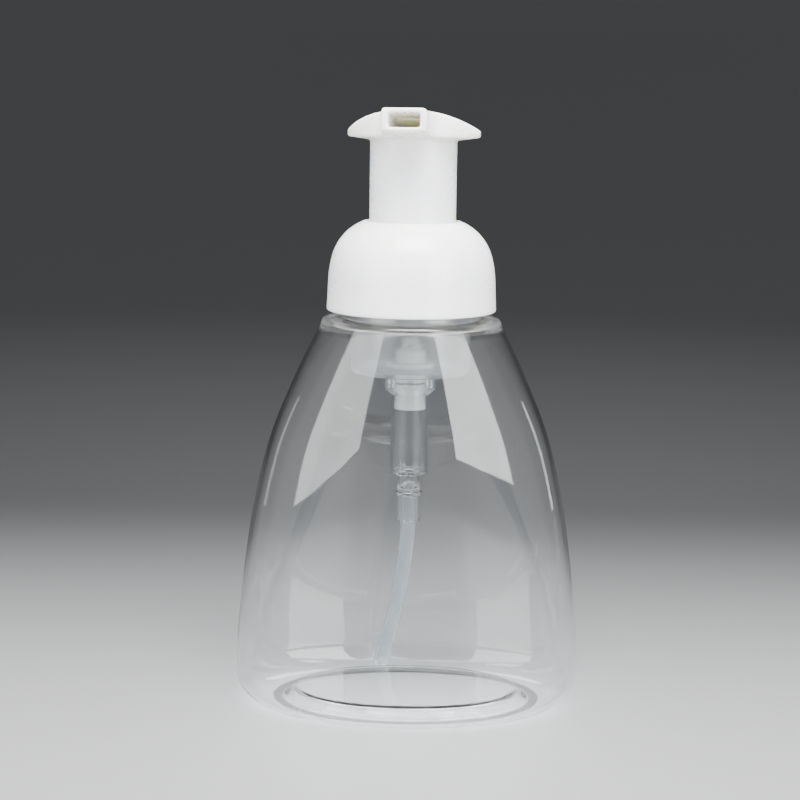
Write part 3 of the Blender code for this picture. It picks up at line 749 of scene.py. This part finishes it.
def bottle_side(inset):
    """Rings from the neck's rim down the body and under the foot to its middle."""
    neck = NECK_RADIUS if inset == 0.0 else NECK_BORE
    drop = WALL_DROP * inset
    lip = NECK_LIP if inset == 0.0 else -NECK_LIP
    rings = [
        (neck - lip, neck - lip, NECK_TOP_Z, ROUND_POWER),
        (neck, neck, NECK_TOP_Z - NECK_LIP, ROUND_POWER),
    ]
    for z in NECK_RINGS_Z:
        rings.append((neck, neck, z, ROUND_POWER))
    base = NECK_BASE_Z - 3 * drop
    for step in range(5):
        angle = math.radians(22.5 * step)
        flared = neck + NECK_FLARE * (1.0 - math.cos(angle))
        z = base + NECK_FLARE - NECK_FLARE * math.sin(angle)
        rings.append((flared, flared, z, ROUND_POWER))
    edge = SHOULDER_RADIUS - inset
    depth = SHOULDER_HALF_DEPTH - inset
    for step in range(SHOULDER_STEPS):
        angle = math.radians(90 - SHOULDER_STEP_DEGREES * step)
        back = SHOULDER_BACK * (1.0 - math.cos(angle))
        power = ROUND_POWER + (OVAL_POWER - ROUND_POWER) * step / SHOULDER_STEPS
        z = SHOULDER_Z - 2 * drop + (base - SHOULDER_Z + 2 * drop) * math.sin(angle)
        rings.append((edge - back, depth - back * SHOULDER_BACK_DEPTH, z, power))
    z = SHOULDER_Z - drop - 0.6
    while z > HEEL_HEIGHT + 1.0:
        rings.append(body_ring(z, inset))
        z -= BODY_RING_GAP
    for step in range(HEEL_STEPS + 1):
        angle = math.radians(90.0 / HEEL_STEPS * step)
        lean = math.cos(angle) - 1.0
        half_x = BODY_HALF_WIDTH - inset + (BODY_HALF_WIDTH - FOOT_HALF_WIDTH - inset) * lean
        half_y = BODY_HALF_DEPTH - inset + (BODY_HALF_DEPTH - FOOT_HALF_DEPTH - inset) * lean
        height = HEEL_HEIGHT - (HEEL_HEIGHT - inset) * math.sin(angle)
        rings.append((half_x, half_y, height, OVAL_POWER))
    for step in range(RISER_STEPS + 1):
        share = step / RISER_STEPS
        climb = 0.5 - 0.5 * math.cos(math.pi * min(1.0, share * RISER_HASTE))
        rise = PUSH_UP_HEIGHT * climb
        width = PUSH_UP_HALF_WIDTH * (1.0 - RISER_WIDTH_LOSS * share)
        depth = PUSH_UP_HALF_DEPTH * (1.0 - RISER_DEPTH_LOSS * share)
        rings.append((width, depth, inset + rise * RISER_SHARE, OVAL_POWER))
    for step in range(1, CROWN_STEPS):
        share = step / CROWN_STEPS
        width = PUSH_UP_HALF_WIDTH * (1.0 - RISER_WIDTH_LOSS) * (1.0 - share)
        depth = PUSH_UP_HALF_DEPTH * (1.0 - RISER_DEPTH_LOSS) * (1.0 - share)
        rise = PUSH_UP_HEIGHT * (RISER_SHARE + CROWN_SHARE * math.sin(math.pi / 2 * share))
        rings.append((width, depth, inset + rise, OVAL_POWER))
    return rings


def bridge(shape, first, second):
    """Join two rings that have the same number of points."""
    count = len(first)
    for i in range(count):
        j = (i + 1) % count
        shape.faces.new((first[i], first[j], second[j], second[i]))


def helix(radius, low_z):
    """The thread's path, from its low end."""
    path = []
    for i in range(round(THREAD_TURNS * THREAD_STEPS) + 1):
        angle = math.tau * i / THREAD_STEPS
        z = low_z + THREAD_PITCH * i / THREAD_STEPS
        path.append((radius * math.cos(angle), radius * math.sin(angle), z))
    return path


def thread_ridge(name, radius, depth, low_z):
    """A round-topped ridge along the thread, fading at both ends."""
    path = helix(radius, low_z)
    last = len(path) - 1
    grown = 1.0 - THREAD_END
    radii = [
        min(1.0, THREAD_END + grown * min(i, last - i) / THREAD_RUN_IN) for i in range(len(path))
    ]
    return wire(name, path, depth, 4, radii)


def make_bottle():
    shape = bmesh.new()
    outside = [oval(shape, *ring) for ring in bottle_side(0.0)]
    inside = [oval(shape, *ring) for ring in bottle_side(WALL)]
    for side in (outside, inside):
        for above, below in zip(side, side[1:]):
            bridge(shape, above, below)
        shape.faces.new(side[-1])
    bridge(shape, outside[0], inside[0])
    mesh = bpy.data.meshes.new("bottle_shell")
    shape.to_mesh(mesh)
    shape.free()
    smooth_mesh(mesh, sharp=60.0)
    shell = link(bpy.data.objects.new("bottle_shell", mesh))
    on_neck = NECK_RADIUS + NECK_THREAD_OUT
    ridge = thread_ridge("neck_thread", on_neck, NECK_THREAD_RADIUS, THREAD_Z)
    shell = boolean(shell, ridge, "UNION")
    finish_piece(shell, PET, "bottle", "clear_pet", "bottle")


# ---------------------------------------------------------------- closure


def make_closure():
    dome = arc(DOME_CENTRE_RADIUS, DOME_Z, DOME_RADIUS, DOME_START, DOME_END, 32)
    edge_r, edge_z = dome[-1]
    bend = math.radians(DOME_END)
    skirt_r = edge_r - SKIRT_RADIUS * math.cos(bend)
    skirt_z = edge_z - SKIRT_RADIUS * math.sin(bend)
    profile = [
        *arc(GUIDE_BORE + BORE_ROUND, LIP_Z - BORE_ROUND, BORE_ROUND, 180.0, 90.0, 4),
        (LIP_RADIUS, LIP_Z),
        *dome,
        *arc(skirt_r, skirt_z, SKIRT_RADIUS, SKIRT_START, SKIRT_END, 8),
        *arc(RIM_RADIUS - RIM_ROUND, RIM_Z + RIM_ROUND, RIM_ROUND, 0.0, -90.0, 5),
        *arc(CLOSURE_BORE + BORE_ROUND, RIM_Z + BORE_ROUND, BORE_ROUND, -90.0, -180.0, 4),
        (CLOSURE_BORE, CLOSURE_THREAD_TOP_Z),
        (FLANGE_POCKET, CLOSURE_THREAD_TOP_Z + 2.0),
        (FLANGE_POCKET, SHOULDER_STOP_Z),
        (SHOULDER_STOP_RADIUS, SHOULDER_STOP_Z),
        (SHOULDER_STOP_RADIUS, SHOULDER_STOP_Z + 1.5),
        (SHOULDER_STOP_RADIUS - 2.4, DOME_INSIDE_Z - 0.4),
        (GUIDE_RADIUS, DOME_INSIDE_Z),
        (GUIDE_RADIUS, GUIDE_FOOT_Z),
        (GUIDE_BORE, GUIDE_FOOT_Z),
    ]
    closure = turned("screw_closure", profile, CLOSURE_SIDES, weighted=False)
    in_bore = CLOSURE_BORE - CLOSURE_THREAD_IN
    low_z = THREAD_Z - THREAD_PITCH / 2
    ridge = thread_ridge("closure_thread", in_bore, CLOSURE_THREAD_RADIUS, low_z)
    closure = boolean(closure, ridge, "UNION")
    weight_normals(closure)
    finish_piece(closure, WHITE_PP, "closure", "white_pp", "closure")


# ---------------------------------------------------------------- head


def edge_circle(side, tip_y):
    """Radius and centre of the arc from tip to tip along the pad's front (-1) or back (1) edge."""
    rise = PAD_HALF_DEPTH - side * tip_y
    radius = (WING_HALF_SPAN**2 + rise**2) / (2 * rise)
    return radius, side * (PAD_HALF_DEPTH - radius)


def pad_outline():
    """The pad from above: a lens with blunt wing tips."""
    count = 48
    outline = []
    for side, tip_y in ((-1.0, WING_TIP_FRONT), (1.0, WING_TIP_BACK)):
        radius, middle = edge_circle(side, tip_y)
        sweep = math.asin(WING_HALF_SPAN / radius)
        for i in range(count + 1):
            angle = sweep * (2.0 * i / count - 1.0)
            across = side * radius * math.sin(angle)
            outline.append((across, middle + side * radius * math.cos(angle)))
    return outline


def crown_section():
    """The pad from the front: a crowned top over a deep flat foot, which the underside cuts."""
    count = 64
    half = WING_HALF_SPAN + 1.0
    top = []
    for i in range(count + 1):
        x = half * (2.0 * i / count - 1.0)
        share = abs(x / WING_HALF_SPAN) ** CROWN_POWER
        top.append((x, CROWN_Z - CROWN_DROP * share))
    return [*top, (half, UNDERSIDE_Z - OVERSHOOT), (-half, UNDERSIDE_Z - OVERSHOOT)]


def box_section(half_width, low, high, corner):
    """A box seen from the front, with rounded top corners."""
    right = arc(half_width - corner, high - corner, corner, 0.0, 90.0, 6)
    left = [(-x, z) for x, z in reversed(right)]
    return [(half_width, low), *right, *left, (-half_width, low)]


def web_outline(side):
    """The rounded inner corner between the nozzle's side and the pad's front edge, from above."""
    count = 16
    radius, middle = edge_circle(-1.0, WING_TIP_FRONT)
    centre_x = NOZZLE_HALF_WIDTH + WEB_RADIUS
    centre_y = middle - math.sqrt((radius + WEB_RADIUS) ** 2 - centre_x**2)
    turn = math.atan2(middle - centre_y, -centre_x) - math.pi
    outline = []
    for i in range(count + 1):
        angle = math.pi + turn * i / count
        x = centre_x + WEB_RADIUS * math.cos(angle)
        outline.append((side * x, centre_y + WEB_RADIUS * math.sin(angle)))
    inner_x = side * (NOZZLE_HALF_WIDTH - 0.5)
    back_y = outline[-1][1] + 1.0
    return [*outline, (outline[-1][0], back_y), (inner_x, back_y), (inner_x, centre_y)]


def tilt(obj, rise, level_y):
    """Raise a piece's front by this much for each unit in front of level_y."""
    lean = Matrix.Identity(4)
    lean[2][1] = -rise
    lean[2][3] = rise * level_y * MM
    obj.data.transform(lean)


def make_pad():
    """The winged pad with its nozzle, hollowed below by a shallow oval cone."""
    pad = slab("pad_plan", pad_outline(), PAD_BLOCK_HEIGHT)
    for side in (-1.0, 1.0):
        pad = boolean(pad, slab("nozzle_web", web_outline(side), PAD_BLOCK_HEIGHT), "UNION")
    pad.data.transform(Matrix.Translation((0.0, 0.0, HEAD_TUBE_TOP_Z * MM)))
    crown = slab("pad_crown", crown_section(), 2.0 * PAD_BLOCK_HEIGHT)
    stand_up(crown, 0.0)
    tilt(crown, CROWN_TILT, 0.0)
    pad = boolean(pad, crown, "INTERSECT")

    front = box_section(NOZZLE_HALF_WIDTH, UNDERSIDE_Z, NOZZLE_TOP_Z, NOZZLE_CORNER)
    nozzle = slab("nozzle_box", front, NOZZLE_BACK - NOZZLE_FRONT)
    stand_up(nozzle, (NOZZLE_BACK + NOZZLE_FRONT) / 2)
    tilt(nozzle, NOZZLE_TILT, NOZZLE_FRONT)
    pad = boolean(pad, nozzle, "UNION")

    reach = 2.0 * PAD_HALF_DEPTH
    profile = [
        (0.0, UNDERSIDE_Z),
        (reach, UNDERSIDE_Z + UNDERSIDE_SLOPE * reach),
        (reach, UNDERSIDE_Z - PAD_BLOCK_HEIGHT),
        (0.0, UNDERSIDE_Z - PAD_BLOCK_HEIGHT),
    ]
    underside = turned("pad_underside", profile, weighted=False)
    underside.data.transform(Matrix.Diagonal((UNDERSIDE_STRETCH, 1.0, 1.0, 1.0)))
    return boolean(pad, underside, "DIFFERENCE")


def make_head():
    body = [
        (0.0, HEAD_TUBE_TOP_Z),
        (HEAD_TUBE_RADIUS, HEAD_TUBE_TOP_Z),
        (HEAD_TUBE_RADIUS, HEAD_TUBE_Z + HEAD_TUBE_BEVEL),
        (HEAD_TUBE_RADIUS - HEAD_TUBE_BEVEL, HEAD_TUBE_Z),
        (0.0, HEAD_TUBE_Z),
    ]
    head = turned("pump_head_shell", body, weighted=False)
    head = boolean(head, make_pad(), "UNION")

    hollow = [
        (0.0, HEAD_BORE_TOP_Z),
        (BOSS_BORE, HEAD_BORE_TOP_Z),
        (BOSS_BORE, BOSS_Z),
        (BOSS_RADIUS, BOSS_Z),
        (BOSS_RADIUS, HEAD_WELL_TOP_Z),
        (HEAD_TUBE_BORE, HEAD_WELL_TOP_Z),
        (HEAD_TUBE_BORE, HEAD_TUBE_Z - OVERSHOOT),
        (0.0, HEAD_TUBE_Z - OVERSHOOT),
    ]
    cavity = turned("head_hollow", hollow, weighted=False)
    head = boolean(head, cavity, "DIFFERENCE")
    outlet = box_section(OUTLET_HALF_WIDTH, OUTLET_LOW_Z, OUTLET_TOP_Z, OUTLET_CORNER)
    channel = slab("foam_channel", outlet, OVERSHOOT - NOZZLE_FRONT)
    stand_up(channel, (NOZZLE_FRONT - OVERSHOOT) / 2)
    tilt(channel, CHANNEL_TILT, NOZZLE_FRONT)
    head = boolean(head, channel, "DIFFERENCE")

    remesh = head.modifiers.new("even skin", "REMESH")
    remesh.mode = "VOXEL"
    remesh.voxel_size = SKIN_VOXEL * MM
    remesh.use_smooth_shade = True
    soften = head.modifiers.new("moulded edges", "SMOOTH")
    soften.factor = 0.5
    soften.iterations = 3
    head = applied(head, 180.0)
    head.rotation_euler.z = HEAD_YAW
    finish_piece(head, WHITE_PP, "head", "white_pp", "pump_head")


# ---------------------------------------------------------------- pump pieces

# piece, CAD node, body, slot, material, angle of the section, corner radius
TURNED_PIECES = [
    ("neck_gasket", "gasket", "pump_body", "silicone", SILICONE, MID_FACET, 0.2),
    ("cylinder_retainer", "retaining_ring", "pump_body", "white_pp", WHITE_PP, MID_FACET, 0.2),
    ("spring_bush", "spring_seat", "pump_body", "white_pe", WHITE_PE, MID_SMALL_FACET, 0.15),
    ("plunger_stem", "stem", "plunger", "white_pe", WHITE_PE, MID_SMALL_FACET, 0.15),
    ("liquid_piston_cup", "liquid_piston", "plunger", "white_pe", WHITE_PE, MID_SMALL_FACET, 0.15),
    ("screen_sleeve", "mesh_holder", "head", "nylon", NYLON, MID_HEAD_FACET, 0.15),
    ("air_flap", "air_valve", "air_piston", "silicone", SILICONE, MID_FACET, 0.12),
]


def make_turned_pieces():
    """Pieces that follow the CAD's own outline, rounder and with soft corners."""
    for name, node, body, slot, material, angle, corner in TURNED_PIECES:
        outline = softened(section(node, angle), corner)
        finish_piece(turned(name, outline), material, body, slot, node)


def cutter_boxes(name, spots, size):
    """Boxes at (degrees about Z, radius, height), each facing the axis."""
    shape = bmesh.new()
    for angle, radius, height in spots:
        turn = Matrix.Rotation(math.radians(angle), 4, "Z")
        move = Matrix.Translation((radius * MM, 0.0, height * MM))
        scale = Matrix.Diagonal((size[0] * MM, size[1] * MM, size[2] * MM, 1.0))
        bmesh.ops.create_cube(shape, size=1.0, matrix=turn @ move @ scale)
    mesh = bpy.data.meshes.new(name)
    shape.to_mesh(mesh)
    shape.free()
    return link(bpy.data.objects.new(name, mesh))


def make_housing():
    outline = softened(section("pump_housing", MID_FACET), 0.2)
    housing = turned("pump_cylinder", outline, weighted=False)
    turns = [360 * (i + 0.5) / WINDOW_COUNT for i in range(WINDOW_COUNT)]
    spots = [(turn, WINDOW_RADIUS, WINDOW_Z) for turn in turns]
    housing = boolean(housing, cutter_boxes("windows", spots, WINDOW_SIZE), "DIFFERENCE")
    vent = cutter_boxes("vent", [VENT_SPOT], VENT_SIZE)
    housing = boolean(housing, vent, "DIFFERENCE")
    weight_normals(housing)
    finish_piece(housing, NATURAL_PP, "pump_body", "natural_pp", "pump_housing")


def make_air_piston():
    outline = softened(section("air_piston", MID_FACET), 0.15)
    piston = turned("air_piston_disc", outline, weighted=False)
    spots = [(45 + 90 * i, PORT_RADIUS, PORT_Z) for i in range(PORT_COUNT)]
    piston = boolean(piston, cutter_boxes("ports", spots, PORT_SIZE), "DIFFERENCE")
    weight_normals(piston)
    finish_piece(piston, WHITE_PE, "air_piston", "white_pe", "air_piston")


def woven_wires(radius, middle):
    """The wires of a woven disc, each going over and under the ones across it."""
    wires = []
    count = int(radius / SCREEN_SPACING)
    for i in range(-count, count + 1):
        offset = i * SCREEN_SPACING
        half = math.sqrt(max((radius - SCREEN_WELD_IN) ** 2 - offset**2, 0.0))
        if half < SCREEN_SHORTEST:
            continue
        steps = max(int(half / SCREEN_SPACING * 4), 4)
        for across in (False, True):
            path = []
            for s in range(steps + 1):
                way = -half + 2 * half * s / steps
                sign = 1.0 if (i % 2 == 0) != across else -1.0
                wave = SCREEN_WAVE * sign * math.cos(math.pi * way / SCREEN_SPACING)
                point = (offset, way) if across else (way, offset)
                path.append((*point, middle + wave))
            wires.append(wire("thread", path, SCREEN_WIRE, 1))
    return wires


def make_screens():
    """Each screen is a woven disc welded into a thin rim."""
    for name, node in (("lower_screen", "lower_mesh"), ("upper_screen", "upper_mesh")):
        low, high = span(node)
        radius = high.x * SCREEN_FIT
        corners = [
            (radius, high.z),
            (radius, low.z),
            (radius - SCREEN_RIM, low.z),
            (radius - SCREEN_RIM, high.z),
        ]
        outline = softened(corners, SCREEN_RIM_ROUND)
        rim = turned(name, outline, SCREEN_SIDES, weighted=False)
        wires = woven_wires(radius, (low.z + high.z) / 2)
        merged = bmesh.new()
        for part in [rim, *wires]:
            merged.from_mesh(part.data)
        merged.to_mesh(rim.data)
        merged.free()
        for part in wires:
            bpy.data.objects.remove(part, do_unlink=True)
        finish_piece(rim, NYLON, "head", "nylon", node)


def make_balls():
    for name, node, body in (
        ("inlet_valve_ball", "inlet_ball", "inlet_ball"),
        ("outlet_valve_ball", "outlet_ball", "outlet_ball"),
    ):
        low, high = span(node)
        centre = (low + high) / 2
        shape = bmesh.new()
        bmesh.ops.create_icosphere(shape, subdivisions=5, radius=(high.z - low.z) / 2 * MM)
        mesh = bpy.data.meshes.new(name)
        shape.to_mesh(mesh)
        shape.free()
        mesh.shade_smooth()
        mesh.transform(Matrix.Translation((0.0, 0.0, centre.z * MM)))
        finish_piece(link(bpy.data.objects.new(name, mesh)), GLASS, body, "ball_glass", node)


def make_spring():
    """Close-wound first and last turns, evenly spaced turns between them."""
    low = SPRING_LOW_Z + SPRING_WIRE
    high = SPRING_HIGH_Z - SPRING_WIRE
    pitch = (high - low - 2 * SPRING_CLOSED_PITCH) / (SPRING_TURNS - 2)
    path = []
    for i in range(SPRING_TURNS * SPRING_STEPS + 1):
        turn = i / SPRING_STEPS
        middle = min(max(turn - 1.0, 0.0), SPRING_TURNS - 2.0)
        ends = min(turn, 1.0) + max(turn - SPRING_TURNS + 1.0, 0.0)
        angle = math.tau * turn
        x = SPRING_RADIUS * math.cos(angle)
        y = SPRING_RADIUS * math.sin(angle)
        path.append((x, y, low + SPRING_CLOSED_PITCH * ends + pitch * middle))
    spring = wire("coil_spring", path, SPRING_WIRE, 4)
    finish_piece(spring, STEEL, "pump_body", "spring_steel", "return_spring")
    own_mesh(spring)


def make_dip_tube():
    """Straight in its socket, then bent to the back left."""
    x_end, y_end, z_end = TUBE_END
    path = [(0.0, 0.0, TUBE_TOP_Z), (0.0, 0.0, (TUBE_TOP_Z + SOCKET_Z) / 2)]
    count = 64
    for i in range(count + 1):
        share = i / count
        z = SOCKET_Z + (z_end - SOCKET_Z) * share
        path.append((x_end * share**TUBE_BEND_X, y_end * share**TUBE_BEND_Y, z))
    tube = wire("suction_tube", path, TUBE_RADIUS, 10, hollow=TUBE_WALL)
    finish_piece(tube, NATURAL_PE, "pump_body", "natural_pe", "dip_tube")


# ---------------------------------------------------------------- stage


def graded_paper():
    """Pale where the object stands, fading to dark grey behind it."""
    made, nodes, links, shader = new_material("graded_paper")
    fade = nodes.new("ShaderNodeMapRange")
    fade.interpolation_type = "SMOOTHSTEP"
    fade.inputs["From Min"].default_value = PALE_UP_TO
    fade.inputs["From Max"].default_value = GREY_FROM
    links.new(along(nodes, links, "Y"), fade.inputs["Value"])
    tones = nodes.new("ShaderNodeValToRGB")
    tones.color_ramp.elements[0].color = (*PALE_PAPER, 1.0)
    tones.color_ramp.elements[1].color = (*GREY_PAPER, 1.0)
    links.new(fade.outputs["Result"], tones.inputs["Fac"])
    links.new(tones.outputs["Color"], shader.inputs["Base Color"])
    shader.inputs["Roughness"].default_value = 0.45
    shader.inputs["Specular IOR Level"].default_value = 0.35
    return made


def make_stage():
    """A round floor that curves up into a wall all the way round."""
    profile = [(FLOOR_RADIUS, 0.0)]
    for i in range(1, SWEEP_STEPS + 1):
        angle = math.pi / 2 * i / SWEEP_STEPS
        radius = FLOOR_RADIUS + SWEEP_RADIUS * math.sin(angle)
        profile.append((radius, SWEEP_RADIUS * (1.0 - math.cos(angle))))
    profile.append((FLOOR_RADIUS + SWEEP_RADIUS, WALL_HEIGHT))
    shape = bmesh.new()
    rings = []
    for radius, z in profile:
        ring = []
        for i in range(FINE):
            angle = math.tau * i / FINE
            ring.append(shape.verts.new((radius * math.cos(angle), radius * math.sin(angle), z)))
        rings.append(ring)
    shape.faces.new(rings[0])
    for near, far in zip(rings, rings[1:]):
        bridge(shape, near, far)
    bmesh.ops.recalc_face_normals(shape, faces=shape.faces)
    bmesh.ops.reverse_faces(shape, faces=shape.faces)
    mesh = bpy.data.meshes.new("sweep")
    shape.to_mesh(mesh)
    shape.free()
    mesh.shade_smooth()
    sweep = link(bpy.data.objects.new("sweep", mesh))
    sweep.data.materials.append(graded_paper())


def area_lamp(name, size_x, size_y, power):
    light = bpy.data.lights.new(name, "AREA")
    light.shape = "RECTANGLE"
    light.size = size_x
    light.size_y = size_y
    light.energy = power
    return link(bpy.data.objects.new(name, light))


def softbox(name, near, far, low, high, slant, power):
    """An upright lamp whose face runs from near to far (x, y) and from low to high."""
    obj = area_lamp(name, math.dist(near, far), high - low, power)
    obj.location = ((near[0] + far[0]) / 2, (near[1] + far[1]) / 2, (low + high) / 2)
    inward = Vector((-(far[1] - near[1]), far[0] - near[0], 0.0))
    if inward.dot(obj.location) > 0.0:
        inward.negate()
    facing = inward.to_track_quat("-Z", "Y").to_matrix()
    obj.rotation_euler = (facing @ Matrix.Rotation(math.radians(slant), 3, "Z")).to_euler()


def overhead(name, place, size_x, size_y, power):
    """A soft lamp above the object, turned towards the bottle's neck."""
    obj = area_lamp(name, size_x, size_y, power)
    obj.location = place
    away = Vector(place) - Vector((0.0, 0.0, NECK_TOP_Z * MM))
    obj.rotation_euler = away.to_track_quat("Z", "Y").to_euler()


def make_lights():
    for lamp in SOFTBOXES:
        softbox(*lamp)
    for lamp in OVERHEADS:
        overhead(*lamp)
    world = bpy.data.worlds.new("studio")
    world.use_nodes = True
    back = world.node_tree.nodes["Background"]
    back.inputs["Color"].default_value = (*WORLD_COLOUR, 1.0)
    back.inputs["Strength"].default_value = WORLD_STRENGTH
    SCENE.world = world


def make_camera():
    """The photo's eye, in front of the pump's axis and looking a little down."""
    camera = bpy.data.cameras.new("camera")
    camera.sensor_width = FILM_WIDTH
    camera.lens = LENS
    camera.clip_start = NEAREST
    obj = link(bpy.data.objects.new("camera", camera))
    obj.location = EYE
    aside = Matrix.Rotation(math.radians(LOOK_ASIDE), 4, "Z")
    down = Matrix.Rotation(math.radians(90.0 - LOOK_DOWN), 4, "X")
    roll = Matrix.Rotation(math.radians(ROLL), 4, "Z")
    obj.rotation_euler = (aside @ down @ roll).to_euler()
    SCENE.camera = obj


make_camera()
make_stage()
make_lights()
make_bottle()
make_closure()
make_head()
make_housing()
make_turned_pieces()
make_air_piston()
make_screens()
make_balls()
make_spring()
make_dip_tube()
